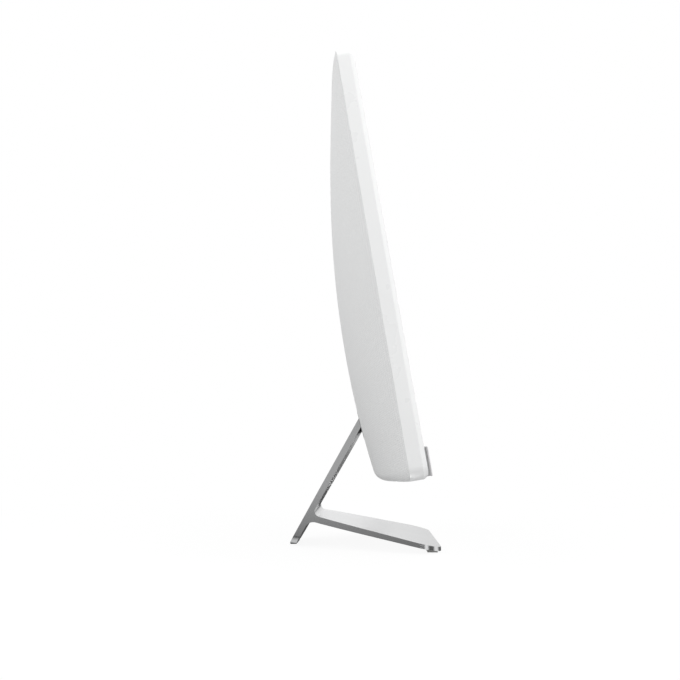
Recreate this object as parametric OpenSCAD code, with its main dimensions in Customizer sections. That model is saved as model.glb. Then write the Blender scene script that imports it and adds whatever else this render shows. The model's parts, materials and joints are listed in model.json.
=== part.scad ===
// All-in-one desktop computer: a slim display head with a domed back, hinged on a one-piece cast stand.
// Row frame: X is the width, the screen faces -Y, +Z is up, and the feet stand on Z = 0.
// Head frame: X is the width, Y is the depth behind the front face, Z runs up the head from its lower edge.

/* [Display head] */
// Width of the head
head_w = 540; // [536:1:560]
// Height of the head, measured up its own slope
head_h = 347; // [342:1:350]
// Radius of the head's corners
corner_r = 10; // [9:0.5:14]
// Depth of the white frame behind the front face
frame_d = 13.9; // [13.5:0.1:16]
// Wall of the white frame
frame_wall = 3.4; // [3:0.1:4]
// Depth of the bevel round the front edge
bevel_d = 3.4; // [2:0.1:3.4]
// Width of the bevel round the front edge
bevel_w = 2.4; // [1:0.1:3]
// Backward lean of the head at rest, degrees
rest_tilt = 9; // [0:1:15]

/* [Back cover] */
// Head depth at the lower edge
cover_bottom_d = 37.5; // [36:0.5:42]
// Head depth at the upper edge
cover_top_d = 21.4; // [20:0.1:26]
// How far the back bulges between those two depths
cover_bulge = 17.35; // [15:0.05:18]
// Wall of the cover
cover_wall = 2.2; // [1.6:0.1:2.4]
// Rounding along the lower edge of the back
cover_round_bottom = 7; // [4:0.5:9]
// Rounding along the upper edge of the back
cover_round_top = 3; // [2:0.5:5]

/* [Stand] */
// Depth of the stand on the desk
stand_d = 156.6; // [150:0.1:170]
// Thickness of the leg
leg_t = 6.4; // [5:0.1:8]
// Lean of the leg from the vertical, degrees
leg_lean = 30; // [28:0.5:32]
// Length up the leg to the hinge axis
hinge_s = 163; // [160:0.5:166]
// Slope of the foot's upper face, degrees
foot_top_slope = 11.9; // [11:0.1:12.5]
// Slope of the foot's lower face, degrees
foot_bottom_slope = 10.7; // [10:0.1:11]
// Thickness of the foot at its front edge
foot_front_t = 4; // [3:0.1:5]
// Half width of the stand at its front edge
foot_half_w = 95; // [85:1:105]
// Half width of the stand at the leg's lower end
leg_end_half_w = 26; // [24:1:32]
// Radius of the foot's front corners
foot_corner_r = 19; // [8:1:22]
// Radius of the leg's lower side edges
leg_corner_r = 9; // [6:1:12]

/* [Screen] */
// Width of the picture area
active_w = 527; // [520:0.5:528]
// Height of the picture area
active_h = 296.5; // [290:0.5:297]

/* [Sound bar] */
// Height of the sound bar
bar_h = 21.6; // [20:0.2:23.6]
// How far the sound bar stands in front of the frame
bar_proud = 3; // [2:0.1:4]

/* [Hinge and controls] */
// Radius of the hinge shafts
shaft_r = 3; // [2.5:0.1:3.5]
// Running clearance round a shaft
running_gap = 0.05; // [0.02:0.01:0.1]
// Radius of the power button
button_r = 3; // [2.5:0.1:3.2]
// Radius of the fan wheel
impeller_r = 30; // [24:1:31]
// Radius of the headphone socket's bore
audio_r = 1.75; // [1.7:0.01:1.8]

/* [Hidden] */
$fn = 48;

SIDES = [-1, 1];
EPS = 1;                                    // overshoot of a cutter past the face it cuts

// Stand
pad_h = 1.5;                                // rubber under the leg
foot_gap = 1.8;                             // desk to the foot's lower front edge
leg_y0 = stand_d / 2 + pad_h * tan(leg_lean); // back of the leg, carried down to the desk
foot_y = -stand_d / 2;                      // front edge of the foot
leg_top_s = hinge_s - 6;                    // the casting ends just short of the hinge barrel
tongue_half_w = 66.5;                       // widest part of the leg that enters the head
plan_steps = 20;
top_fillet_r = 5.5;
bottom_fillet_r = 11;
fillet_steps = 12;
leaf_t = 2;
leaf_s = hinge_s - 12;                      // lower edge of the hinge leaf
leaf_screw_s = hinge_s - 8.6;
leaf_screw_x = [-46, -16, 16, 46];
barrel_r = 5.5;
barrel_x = [36, 62];                        // inner and outer end of each hinge barrel

// Hinge axis, in the row frame and in the head frame
leg_dir = [-sin(leg_lean), cos(leg_lean)];
leg_front = [-cos(leg_lean), -sin(leg_lean)];
hinge_y = leg_y0 + hinge_s * leg_dir[0] + leg_t / 2 * leg_front[0];
hinge_z = hinge_s * leg_dir[1] + leg_t / 2 * leg_front[1];
hinge_w = 36;
hinge_v = 67.2;
ear_x = [74, 76.5];
ear_r = 6;
washer_t = 2;
shaft_x = [36, 84.5];

// Head
half_w = head_w / 2;
open_half_w = half_w - frame_wall;          // inside of the white frame
glass_v = [28.6, head_h - frame_wall - 0.2];
glass_w = [0.6, 1.8];
cell_w = [1.8, 3.1];
sheets_w = [3.1, 3.9];
guide_w = [3.9, 6.4];
tray_w = [6.4, 7.2];
pocket_r = 3;
panel_v = [29.4, head_h - 7.1];
panel_half_w = open_half_w - 1.2;
flange_w = [9, 10.5];                       // ledge inside the frame that carries the chassis
flange_in = 5;
plate_w = [10.5, 11.7];                     // steel chassis plate
board_w = [16, 17.6];
board_x = [-215, -5];
board_v = [128.2, 300];
bar_v = [1.5, 1.5 + bar_h];
bar_half_w = half_w - 7.4;
bar_skin = 0.6;
chin_web_w = [3.4, 6];
chin_top_v = bar_v[1] + 0.2;
box_v = [5, 24.5];
box_room_v = box_v[1] + 0.8;
lip = 0.4;

// Openings in the back
slot_half_w = 68.6;
slot_v = [42, 67.5];
cavity_half_w = 70.2;
cavity_v = [40.6, 79];
cavity_floor_w = 24;
cavity_wall = 1.2;
bay_x = [-177, -25];
bay_v = [84, 128];
bay_floor_w = 15.5;
bay_wall = 1.2;
vent_v = [296, 312];
vent_pitch = 6;
vent_count = 26;
vent_slot_w = 3;

// Cooling
fan_x = 70;
fan_v = 235;
fan_r = 38;
fan_w = [11.7, 24];
fin_x = [35, 105];
fin_v = [275, 291];
fin_w = [12, 28.4];
fin_pitch = 5;
fin_t = 0.8;
pipe_r = 2.5;
pipe_w = 24.5;

// Ports: [left edge, right edge, depth of the body behind the board]
usb_x = [[-113, -100], [-96, -83], [-79, -66], [-62, -49]];
usb_h = 6.5;
lan_x = [-154, -138];
lan_h = 13.4;
hdmi_x = [-133, -118];
hdmi_h = 5.6;
dc_x = [-170, -159];
dc_h = 11;
port_len = 15;
port_face_v = bay_v[1] - bay_wall;

// Headphone socket, in the frame's underside
audio_x = 225;
audio_w = 9.4;
audio_nose_r = 2.6;
audio_len = 14;
audio_mouth_v = 0.2;

// Power button
button_x = 244;
button_w = 10.3;
button_travel = 0.7;

// ---------------------------------------------------------------- helpers

// Places a child that is drawn in the head frame
module in_head() {
    translate([0, hinge_y, hinge_z])
        rotate([-rest_tilt, 0, 0])
            translate([0, -hinge_w, -hinge_v])
                children();
}

// Places a child that is drawn in the leg frame: Y is the depth, 0 on the leg's back, and Z runs up the leg
module in_leg() {
    translate([0, leg_y0, 0])
        rotate([leg_lean, 0, 0])
            children();
}

// A span measured from a base value
function at(base, span) = [base + span[0], base + span[1]];

// The electronics are laid out as seen from behind, so they are swapped left for right
module swapped() {
    mirror([1, 0, 0])
        children();
}

module slab(x, y, z) {
    translate([x[0], y[0], z[0]])
        cube([x[1] - x[0], y[1] - y[0], z[1] - z[0]]);
}

module rod_x(x, y, z, r) {
    translate([x[0], y, z])
        rotate([0, 90, 0])
            cylinder(h = x[1] - x[0], r = r);
}

module rod_y(x, y, z, r) {
    translate([x, y[0], z])
        rotate([-90, 0, 0])
            cylinder(h = y[1] - y[0], r = r);
}

module rod_z(x, y, z, r) {
    translate([x, y, z[0]])
        cylinder(h = z[1] - z[0], r = r);
}

// A 2D outline in the (y, z) plane, extruded along X
module along_x(x) {
    translate([x[0], 0, 0])
        rotate([90, 0, 90])
            linear_extrude(x[1] - x[0])
                children();
}

// A 2D outline in the (x, z) plane, extruded along Y
module along_y(y) {
    translate([0, y[1], 0])
        rotate([90, 0, 0])
            linear_extrude(y[1] - y[0])
                children();
}

module round_rect(x, y, r) {
    translate([x[0] + r, y[0]])
        square([x[1] - x[0] - 2 * r, y[1] - y[0]]);
    translate([x[0], y[0] + r])
        square([x[1] - x[0], y[1] - y[0] - 2 * r]);
    for (cx = [x[0] + r, x[1] - r], cy = [y[0] + r, y[1] - r])
        translate([cx, cy])
            circle(r);
}

module round_plate(x, y, z, r) {
    along_y(y)
        round_rect(x, z, r);
}

// A straight run of round cable or pipe between two points
module run(a, b, r) {
    d = b - a;
    len = norm(d);
    translate(a)
        rotate([0, acos(d[2] / len), atan2(d[1], d[0])])
            cylinder(h = len, r = r);
}

module routed(points, r) {
    for (i = [0 : len(points) - 2])
        run(points[i], points[i + 1], r);
    for (i = [1 : len(points) - 2])
        translate(points[i])
            sphere(r * 1.06);
}

module both_sides() {
    children();
    mirror([1, 0, 0])
        children();
}

// A pan-head screw along Y: its head stands on y[1] and its shank reaches back to y[0]
module screw_y(x, y, z, r) {
    rod_y(x, y, z, r);
    rod_y(x, [y[1], y[1] + r], z, 1.9 * r);
}

function unit(a) = a / norm(a);

// The sliver between a corner p and its rounding of radius r; d1 and d2 point away along the two edges.
// It runs 1 mm past both edges, so that it joins or cuts them cleanly.
module corner_sliver(p, d1, d2, r) {
    half = acos(unit(d1) * unit(d2)) / 2;
    inward = unit(unit(d1) + unit(d2));
    end_1 = p + unit(d1) * r / tan(half);
    end_2 = p + unit(d2) * r / tan(half);
    centre = p + inward * r / sin(half);
    difference() {
        polygon([p - inward, end_1 - inward, end_1, centre, end_2, end_2 - inward]);
        translate(centre)
            circle(r);
    }
}

// ---------------------------------------------------------------- stand

function leg_rear_y(z) = leg_y0 - z * tan(leg_lean);
function leg_front_y(z) = leg_rear_y(z) - leg_t / cos(leg_lean);
function foot_top_z(y) = foot_gap + foot_front_t + (y - foot_y) * tan(foot_top_slope);
function foot_bottom_z(y) = foot_gap + (y - foot_y) * tan(foot_bottom_slope);

// Where the leg's front face meets a face of the foot with height z0 at the foot's front edge
function junction_y(z0, slope) =
    (leg_front_y(0) - tan(leg_lean) * (z0 - foot_y * tan(slope))) / (1 + tan(leg_lean) * tan(slope));

top_joint_y = junction_y(foot_gap + foot_front_t, foot_top_slope);
bottom_joint_y = junction_y(foot_gap, foot_bottom_slope);
top_joint = [top_joint_y, foot_top_z(top_joint_y)];
bottom_joint = [bottom_joint_y, foot_bottom_z(bottom_joint_y)];

function leg_point(s, depth) = [leg_y0, 0] + s * leg_dir + depth * leg_front;

// Points of an arc about c, from a to b the short way round
function arc_between(c, a, b) =
    let (from = atan2(a[1] - c[1], a[0] - c[0]), d = atan2(b[1] - c[1], b[0] - c[0]) - from)
        let (turn = d > 180 ? d - 360 : d < -180 ? d + 360 : d)
            [for (i = [0 : fillet_steps]) let (t = from + turn * i / fillet_steps) c + norm(a - c) * [cos(t), sin(t)]];

// Points of the rounding of radius r in the corner p; d1 and d2 point away along its two edges
function fillet(p, d1, d2, r) =
    let (half = acos(d1 * d2) / 2, c = p + unit(d1 + d2) * r / sin(half))
        arc_between(c, p + d1 * r / tan(half), p + d2 * r / tan(half));

module stand_profile() {
    polygon(concat(
        [[leg_rear_y(pad_h), pad_h], leg_point(leg_top_s, 0), leg_point(leg_top_s, leg_t)],
        fillet(top_joint, leg_dir, [-cos(foot_top_slope), -sin(foot_top_slope)], top_fillet_r),
        [[foot_y, foot_gap + foot_front_t], [foot_y, foot_gap]],
        fillet(bottom_joint, [-cos(foot_bottom_slope), -sin(foot_bottom_slope)], -leg_dir, bottom_fillet_r),
        [[leg_front_y(pad_h), pad_h]]));
}

// Half width of the casting seen from above: one smooth curve from the foot's front edge to the leg's end
function bezier(t, p) =
    pow(1 - t, 3) * p[0] + 3 * pow(1 - t, 2) * t * p[1] + 3 * (1 - t) * t * t * p[2] + pow(t, 3) * p[3];
plan_curve = [[foot_half_w, foot_y], [71, -25], [66, 30], [leg_end_half_w, leg_y0]];
plan_side = [for (i = [0 : plan_steps]) bezier(i / plan_steps, plan_curve)];
// The leg's side wall near the floor is nearly flat: the turn of its outward normal about the vertical
leg_wall = plan_side[plan_steps] - plan_side[plan_steps - 4];
leg_wall_turn = atan2(-leg_wall[0], leg_wall[1]);
leg_floor_half_w = leg_end_half_w - leg_corner_r / cos(leg_wall_turn);

// The right-hand shape as it is, or mirrored for the left
module sided(side) {
    mirror([side < 0 ? 1 : 0, 0, 0])
        children();
}

module stand_plan() {
    difference() {
        polygon(concat(plan_side, [for (i = [plan_steps : -1 : 0]) [-plan_side[i][0], plan_side[i][1]]]));
        for (side = SIDES)
            corner_sliver([side * foot_half_w, foot_y], [side * (plan_side[3][0] - foot_half_w),
                plan_side[3][1] - foot_y], [-side, 0], foot_corner_r);
    }
}

module stand_frame() {
    color("#c9cacb")
        difference() {
            intersection() {
                along_x([-foot_half_w, foot_half_w])
                    stand_profile();
                linear_extrude(leg_top_s)
                    stand_plan();
            }
            for (side = SIDES)
                sided(side)
                    translate([leg_end_half_w, leg_y0, 0])
                        rotate([0, 0, leg_wall_turn])
                            along_y([-24, 6])
                                corner_sliver([0, pad_h], [0, 1], [-1, 0], leg_corner_r);
            for (side = SIDES)
                slab(side > 0 ? [tongue_half_w, foot_half_w] : [-foot_half_w, -tongue_half_w],
                    [-60, 40], [60, leg_top_s]);
            in_leg()
                for (x = leaf_screw_x)
                    rod_y(x, [-leg_t - EPS, -2], leaf_screw_s, 1.25);
        }
}

module front_foot_pads() {
    pad_y = [foot_y + 3.5, foot_y + 13.5];
    color("#2b2c2e")
        for (side = SIDES)
            along_x(side > 0 ? [44, 70] : [-70, -44])
                polygon([[pad_y[0], 0], [pad_y[1], 0], [pad_y[1], foot_bottom_z(pad_y[1])],
                    [pad_y[0], foot_bottom_z(pad_y[0])]]);
}

module rear_foot_pad() {
    color("#2b2c2e")
        along_x([0.8 - leg_floor_half_w, leg_floor_half_w - 0.8])
            polygon([[leg_rear_y(pad_h), pad_h], [leg_rear_y(pad_h), 0.4], [leg_rear_y(pad_h) - 0.4, 0],
                [leg_front_y(pad_h) + 0.8, 0], [leg_front_y(pad_h), 0.8], [leg_front_y(pad_h), pad_h]]);
}

module hinge_leaf() {
    color("#8f9296")
        in_leg()
            difference() {
                union() {
                    slab([-62, 62], [-leg_t - leaf_t, -leg_t], [leaf_s, hinge_s]);
                    for (side = SIDES)
                        rod_x(side > 0 ? barrel_x : [-barrel_x[1], -barrel_x[0]], -leg_t / 2, hinge_s, barrel_r);
                }
                rod_x([-62 - EPS, 62 + EPS], -leg_t / 2, hinge_s, shaft_r);
                for (x = leaf_screw_x)
                    rod_y(x, [-leg_t - leaf_t - EPS, -leg_t + EPS], leaf_screw_s, 1.4);
                slab([-barrel_x[0], barrel_x[0]], [-leg_t - leaf_t - EPS, EPS], [hinge_s - 2, hinge_s + EPS]);
            }
}

module leaf_screws() {
    color("#3a3b3d")
        in_leg()
            mirror([0, 1, 0])
                for (x = leaf_screw_x)
                    screw_y(x, [2.2, leg_t + leaf_t], leaf_screw_s, 1.2);
}

module hinge_shafts() {
    color("#a5a8ab")
        in_leg()
            both_sides()
                rod_x(shaft_x, -leg_t / 2, hinge_s, shaft_r);
}

module friction_washers() {
    color("#b9a26a")
        in_leg()
            both_sides()
                for (x = [ear_x[0] - washer_t - 0.15, ear_x[1] + 0.15])
                    difference() {
                        rod_x([x, x + washer_t], -leg_t / 2, hinge_s, ear_r - 0.2);
                        rod_x([x - EPS, x + washer_t + EPS], -leg_t / 2, hinge_s, shaft_r);
                    }
}

module hinge_nuts() {
    nut_x = ear_x[1] + washer_t + 0.15;
    color("#a5a8ab")
        in_leg()
            both_sides()
                difference() {
                    translate([nut_x, -leg_t / 2, hinge_s])
                        rotate([0, 90, 0])
                            cylinder(h = 4, r = 5.5, $fn = 6);
                    rod_x([nut_x - EPS, nut_x + 5], -leg_t / 2, hinge_s, shaft_r);
                }
}

// ---------------------------------------------------------------- frame and screen

// The head's outline with its bevelled front edge
module frame_blank() {
    x = [-half_w, half_w];
    v = [0, head_h];
    round_plate(x, [bevel_d, frame_d], v, corner_r);
    for (cx = [x[0] + corner_r, x[1] - corner_r], cv = [corner_r, head_h - corner_r])
        translate([cx, 0, cv])
            rotate([-90, 0, 0])
                cylinder(h = bevel_d, r1 = corner_r - bevel_w, r2 = corner_r);
    along_x([x[0] + corner_r, x[1] - corner_r])
        polygon([[0, bevel_w], [bevel_d, 0], [bevel_d, head_h], [0, head_h - bevel_w]]);
    translate([0, 0, corner_r])
        linear_extrude(head_h - 2 * corner_r)
            polygon([[x[0] + bevel_w, 0], [x[1] - bevel_w, 0], [x[1], bevel_d], [x[0], bevel_d]]);
}

chassis_screw_points = concat(
    [for (side = SIDES, v = [60, 130, 200, 270, 325]) [side * (open_half_w - 3), v]],
    [for (x = [-180, -60, 60, 180]) [x, head_h - frame_wall - 2.6]]);

module middle_frame() {
    x = [-open_half_w, open_half_w];
    inner = [-open_half_w + flange_in, open_half_w - flange_in];
    wall_v = [frame_wall, head_h - frame_wall];
    color("#f2f2f2")
        difference() {
            frame_blank();
            round_plate(x, [-EPS, cell_w[0] + 0.1], [glass_v[0] - 0.2, wall_v[1]], corner_r - frame_wall);
            round_plate(x, [cell_w[0], flange_w[0]], [glass_v[0] - 0.2, wall_v[1]], pocket_r);
            round_plate(x, [flange_w[1], frame_d + EPS], wall_v, corner_r - frame_wall);
            slab(inner, [flange_w[0] - EPS, flange_w[1] + EPS], [31, wall_v[1] - flange_in]);
            slab(x + [2, -2], [-EPS, chin_web_w[0]], [wall_v[0], chin_top_v]);
            slab(x + [2, -2], [chin_web_w[1], flange_w[1] + EPS], [wall_v[0], box_room_v]);
            for (side = SIDES)
                slab(side > 0 ? [130, 204] : [-204, -130], [0, 8], [6.6, 22.6]);
            rod_z(button_x, button_w, [-EPS, frame_wall + EPS], button_r + 0.2);
            rod_z(audio_x, audio_w, [-EPS, frame_wall + EPS], audio_nose_r + 0.1);
            for (p = chassis_screw_points)
                rod_y(p[0], [flange_w[0] - EPS, flange_w[1] + EPS], p[1], 1.2);
        }
}

module screen_glass() {
    color("#101214")
        round_plate([-open_half_w + 0.2, open_half_w - 0.2], glass_w, glass_v, corner_r - frame_wall - 0.2);
}

module lcd_cell() {
    color("#15171a")
        slab([-panel_half_w, panel_half_w], cell_w, panel_v);
}

module diffuser_sheets() {
    color("#f4f4f0")
        slab([-panel_half_w + 1, panel_half_w - 1], sheets_w, panel_v + [1, -1]);
}

module light_guide() {
    color("#e6eef0")
        slab([-panel_half_w + 1, panel_half_w - 1], guide_w, panel_v + [4, -1]);
}

module led_strip() {
    color("#e8d9a0") {
        slab([-panel_half_w + 4, panel_half_w - 4], [guide_w[0] + 0.2, guide_w[1] - 0.2], at(panel_v[0] + 1, [0, 1]));
        for (i = [-31 : 31])
            slab(at(i * 8.2, [-2, 2]), [guide_w[0] + 0.6, guide_w[1] - 0.6], at(panel_v[0] + 2, [0, 0.9]));
    }
}

module panel_tray() {
    color("#b4b7ba")
        difference() {
            slab([-panel_half_w, panel_half_w], [sheets_w[0], tray_w[1]], panel_v);
            slab([-panel_half_w + 0.8, panel_half_w - 0.8], [sheets_w[0] - EPS, tray_w[0]], panel_v + [0.8, -0.8]);
        }
}

module panel_spacers() {
    color("#4a4c50")
        for (x = [-200, 0, 200], v = [90, 190, 310])
            slab(at(x, [-8, 8]), [tray_w[1], plate_w[0]], at(v, [-8, 8]));
}

module timing_board() {
    color("#2f6b45") {
        slab([-70, 70], [tray_w[1], tray_w[1] + 1], [36, 52]);
        slab([-40, -28], [tray_w[1] + 1, tray_w[1] + 2.2], [39, 49]);
        slab([4, 22], [tray_w[1] + 1, 9.6], [42, 47]);
    }
}

module sound_bar_housing() {
    color("#3c3d40")
        difference() {
            union() {
                slab([-bar_half_w + bar_skin, bar_half_w - bar_skin], [-bar_proud + bar_skin, 0],
                    bar_v + [bar_skin, -bar_skin]);
                slab([-bar_half_w + 4, bar_half_w - 4], [0, chin_web_w[0]], [4, bar_v[1] - bar_skin]);
            }
            for (side = SIDES)
                slab(side > 0 ? [132, 202] : [-202, -132], [-bar_proud, chin_web_w[0] + EPS], [8, 21]);
        }
}

module sound_bar_grille() {
    color("#a7a8aa")
        difference() {
            slab([-bar_half_w, bar_half_w], [-bar_proud, 0], bar_v);
            slab([-bar_half_w + bar_skin, bar_half_w - bar_skin], [-bar_proud + bar_skin, EPS],
                bar_v + [bar_skin, -bar_skin]);
        }
}

// ---------------------------------------------------------------- speakers and camera

speaker_x = 167;
speaker_v = 14.6;

module speaker_box(side) {
    x = side > 0 ? [120, 214] : [-214, -120];
    color("#2c2d30")
        difference() {
            slab(x, [8.2, 19], box_v);
            slab(x + [1.5, -1.5], [9.7, 17.5], box_v + [1.5, -1.5]);
            rod_y(side * speaker_x, [8, 10], speaker_v, 7);
        }
}

module speaker_drivers() {
    color("#55575b")
        for (side = SIDES)
            translate([side * speaker_x, 8.2, speaker_v])
                rotate([90, 0, 0])
                    rotate_extrude()
                        polygon([[0, 0], [7, 0], [7.8, 0.2], [7.8, 3.6], [7, 3.6], [6.4, 2.6], [3, 1.4], [0, 2]]);
}

module webcam_board() {
    color("#2f6b45") {
        slab([-30, 30], [3.2, 4.2], [head_h - 6.9, head_h - 3.7]);
        slab([8, 14], [4.2, 5], [head_h - 6.5, head_h - 4.1]);
    }
}

module webcam_lens() {
    color("#1a1c20")
        rod_y(0, [glass_w[1] + 0.05, 3.2], head_h - 5.3, 1.4);
}

// ---------------------------------------------------------------- back cover

cover_span = head_h;
rings = [1, 1, 0.994, 0.984, 0.97, 0.95, 0.92, 0.88, 0.82, 0.74, 0.62, 0.48, 0.32, 0.16];
arc_steps = 5;
long_steps = 20;
short_steps = 12;

// Head depth on the centre line, v up from the lower edge
function middle_depth(v) =
    let (x = v / head_h) cover_bottom_d + (cover_top_d - cover_bottom_d) * x + 4 * cover_bulge * x * (1 - x);

// Half width of the outline at height v
function outline_half_w(v) =
    let (d = max(corner_r - v, v - head_h + corner_r, 0))
        half_w - corner_r + sqrt(max(corner_r * corner_r - d * d, 0));

// How much of a rounding of radius r is missing at distance d from the edge
function missing(d, r) = d >= r ? 0 : 1 - sqrt(1 - pow(1 - max(d, 0) / r, 2));

// Depth of the dome behind the frame at (x, v)
function dome(x, v) =
    let (s = min(1, abs(x) / outline_half_w(v)))
        let (full = (middle_depth(v) - frame_d) * pow(1 - pow(s, 6), 0.8))
            max(lip, full - min(cover_round_bottom, full / 2) * missing(v, cover_round_bottom)
                - min(cover_round_top, full / 2) * missing(head_h - v, cover_round_top));

function arc(cx, cv, from) =
    [for (i = [0 : arc_steps]) let (a = from + 90 * i / arc_steps) [cx + corner_r * cos(a), cv + corner_r * sin(a)]];
function between(a, b, n) = [for (i = [1 : n - 1]) a + (b - a) * i / n];

cover_right = half_w - corner_r;
cover_low = corner_r;
cover_high = head_h - corner_r;
outline = concat(
    arc(cover_right, cover_low, 270), between([half_w, cover_low], [half_w, cover_high], short_steps),
    arc(cover_right, cover_high, 0), between([cover_right, head_h], [-cover_right, head_h], long_steps),
    arc(-cover_right, cover_high, 90), between([-half_w, cover_high], [-half_w, cover_low], short_steps),
    arc(-cover_right, cover_low, 180), between([-cover_right, 0], [cover_right, 0], long_steps));
outline_n = len(outline);
centre_v = head_h / 2;

// A point of ring k: ring 0 lies on the frame, the rest on the dome; the inner skin is set in by the wall
function ring_point(k, p, wall) =
    let (x = p[0] * rings[k], v = centre_v + (p[1] - centre_v) * rings[k])
        let (depth = k == 0 ? 0 : wall == 0 ? dome(x, v) : max(lip / 2, dome(x, v) - wall))
            [x * (half_w - wall) / half_w, frame_d + depth, centre_v + (v - centre_v) * (centre_v - wall) / centre_v];

function skin_points(wall) =
    concat([for (k = [0 : len(rings) - 1]) for (p = outline) ring_point(k, p, wall)],
        [[0, middle_depth(centre_v) - wall, centre_v]]);

function skin_faces(start, inward) =
    let (n = outline_n, last = len(rings) - 1)
        concat(
            [for (k = [0 : last - 1]) for (i = [0 : n - 1]) for (half = [0, 1])
                let (j = (i + 1) % n, a = start + k * n, b = a + n)
                    let (tri = half == 0 ? [a + i, a + j, b + j] : [a + i, b + j, b + i])
                        inward ? tri : [tri[2], tri[1], tri[0]]],
            [for (i = [0 : n - 1])
                let (j = (i + 1) % n, a = start + last * n, tri = [a + i, a + j, start + (last + 1) * n])
                    inward ? tri : [tri[2], tri[1], tri[0]]]);

function seam_faces(inner_start) =
    [for (i = [0 : outline_n - 1]) for (half = [0, 1])
        let (j = (i + 1) % outline_n)
            half == 0 ? [i, j, inner_start + j] : [i, inner_start + j, inner_start + i]];

module cover_shell() {
    inner_start = len(rings) * outline_n + 1;
    polyhedron(points = concat(skin_points(0), skin_points(cover_wall)),
        faces = concat(skin_faces(0, true), skin_faces(inner_start, false),
            [for (f = seam_faces(inner_start)) [f[2], f[1], f[0]]]));
}

module back_cover() {
    back_w = [20, 60];
    color("#e4e4e3")
        difference() {
            cover_shell();
            slab([-slot_half_w, slot_half_w], back_w, slot_v);
            slab(bay_x + [bay_wall + 0.2, -bay_wall - 0.2], back_w, bay_v + [bay_wall + 0.2, -bay_wall - 0.2]);
            for (i = [0 : vent_count - 1])
                slab(at((i - (vent_count - 1) / 2) * vent_pitch, [-vent_slot_w / 2, vent_slot_w / 2]), back_w, vent_v);
        }
}

// The bay's rim follows the inside of the cover
function bay_rim(x) = frame_d + dome(x, bay_v[0]) - cover_wall - 0.8;

// Black tray that lines the port opening; its upper wall carries the sockets' faces
module port_bay() {
    inside_x = bay_x + [bay_wall, -bay_wall];
    wall_v = [port_face_v - EPS, bay_v[1] + EPS];
    color("#2c2d30")
        difference() {
            translate([0, 0, bay_v[0]])
                linear_extrude(bay_v[1] - bay_v[0])
                    polygon(concat([[bay_x[1], bay_floor_w], [bay_x[0], bay_floor_w]],
                        [for (x = [bay_x[0] : 19 : bay_x[1]]) [x, bay_rim(x)]]));
            slab(inside_x, [bay_floor_w + bay_wall, 60], bay_v + [bay_wall, -bay_wall]);
            for (x = usb_x)
                slab(x, at(board_w[1], [0, usb_h]), wall_v);
            slab(lan_x, at(board_w[1], [0, lan_h]), wall_v);
            slab(hdmi_x, at(board_w[1], [0, hdmi_h]), wall_v);
            slab(dc_x, at(board_w[1], [0, dc_h]), wall_v);
        }
}

module hinge_cavity() {
    rim_low_w = 40.2;
    rim_high_w = 43.3;
    t = cavity_wall;
    v = cavity_v;
    color("#1f2022")
        difference() {
            along_x([-cavity_half_w, cavity_half_w])
                polygon([[cavity_floor_w, v[0]], [rim_low_w, v[0]], [rim_high_w, v[1]], [cavity_floor_w, v[1]]]);
            slab([-cavity_half_w + t, cavity_half_w - t], [cavity_floor_w + t, 60], v + [t, -t]);
            rod_x([-cavity_half_w - EPS, cavity_half_w + EPS], hinge_w, hinge_v, shaft_r + 1.5);
        }
}

// ---------------------------------------------------------------- chassis and hinge brackets

bracket_hole_points = [for (x = [84, 100], v = [52, 104]) [x, v]];

module chassis_plate() {
    color("#b9bcbf")
        difference() {
            round_plate([-open_half_w + 0.6, open_half_w - 0.6], plate_w, [31.5, head_h - frame_wall - 0.6],
                corner_r - frame_wall);
            for (x = [[120, 230], [-230, -120]])
                round_plate(x, [plate_w[0] - EPS, plate_w[1] + EPS], [44, 84], 6);
            round_plate([120, 230], [plate_w[0] - EPS, plate_w[1] + EPS], [250, 310], 6);
            round_plate([2, 24], [plate_w[0] - EPS, plate_w[1] + EPS], [55, 65], 2);
            for (p = chassis_screw_points)
                rod_y(p[0], [plate_w[0] - EPS, plate_w[1] + EPS], p[1], 1.4);
            for (side = SIDES, p = bracket_hole_points)
                rod_y(side * p[0], [plate_w[0] - EPS, plate_w[1] + EPS], p[1], 1.5);
        }
}

module chassis_screws() {
    color("#3a3b3d")
        for (p = chassis_screw_points)
            screw_y(p[0], [flange_w[0] + 0.2, plate_w[1]], p[1], 1.15);
}

module hinge_brackets() {
    base_w = [plate_w[1], plate_w[1] + 2];
    color("#9a9da0")
        both_sides()
            difference() {
                union() {
                    slab([ear_x[0], 108], base_w, [46, 110]);
                    along_x(ear_x) {
                        polygon([[base_w[0], 50], [hinge_w, hinge_v - ear_r], [hinge_w, hinge_v + ear_r],
                            [base_w[0], 84]]);
                        translate([hinge_w, hinge_v])
                            circle(ear_r);
                    }
                }
                rod_x([ear_x[0] - EPS, ear_x[1] + EPS], hinge_w, hinge_v, shaft_r + running_gap);
                for (p = bracket_hole_points)
                    rod_y(p[0], [base_w[0] - EPS, base_w[1] + EPS], p[1], 1.5);
            }
}

module bracket_screws() {
    color("#3a3b3d")
        both_sides()
            for (p = bracket_hole_points)
                screw_y(p[0], [plate_w[0], plate_w[1] + 2], p[1], 1.45);
}

// ---------------------------------------------------------------- mainboard

standoff_points = [for (x = [-208, -112, -12], v = [148, 208, 283]) [x, v]];

module mainboard() {
    color("#1f5c3a")
        difference() {
            slab(board_x, board_w, board_v);
            for (p = standoff_points)
                rod_y(p[0], [board_w[0] - EPS, board_w[1] + EPS], p[1], 1.5);
        }
}

module board_standoffs() {
    color("#c8a552")
        for (p = standoff_points)
            difference() {
                rod_y(p[0], [plate_w[1], board_w[0]], p[1], 3);
                rod_y(p[0], [plate_w[1] + 1, board_w[0] + EPS], p[1], 1.4);
            }
}

module board_screws() {
    color("#a5a8ab")
        for (p = standoff_points)
            screw_y(p[0], [plate_w[1] + 1.2, board_w[1]], p[1], 1.35);
}

cpu_x = [-86, -51];
cpu_v = [208, 243];

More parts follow.
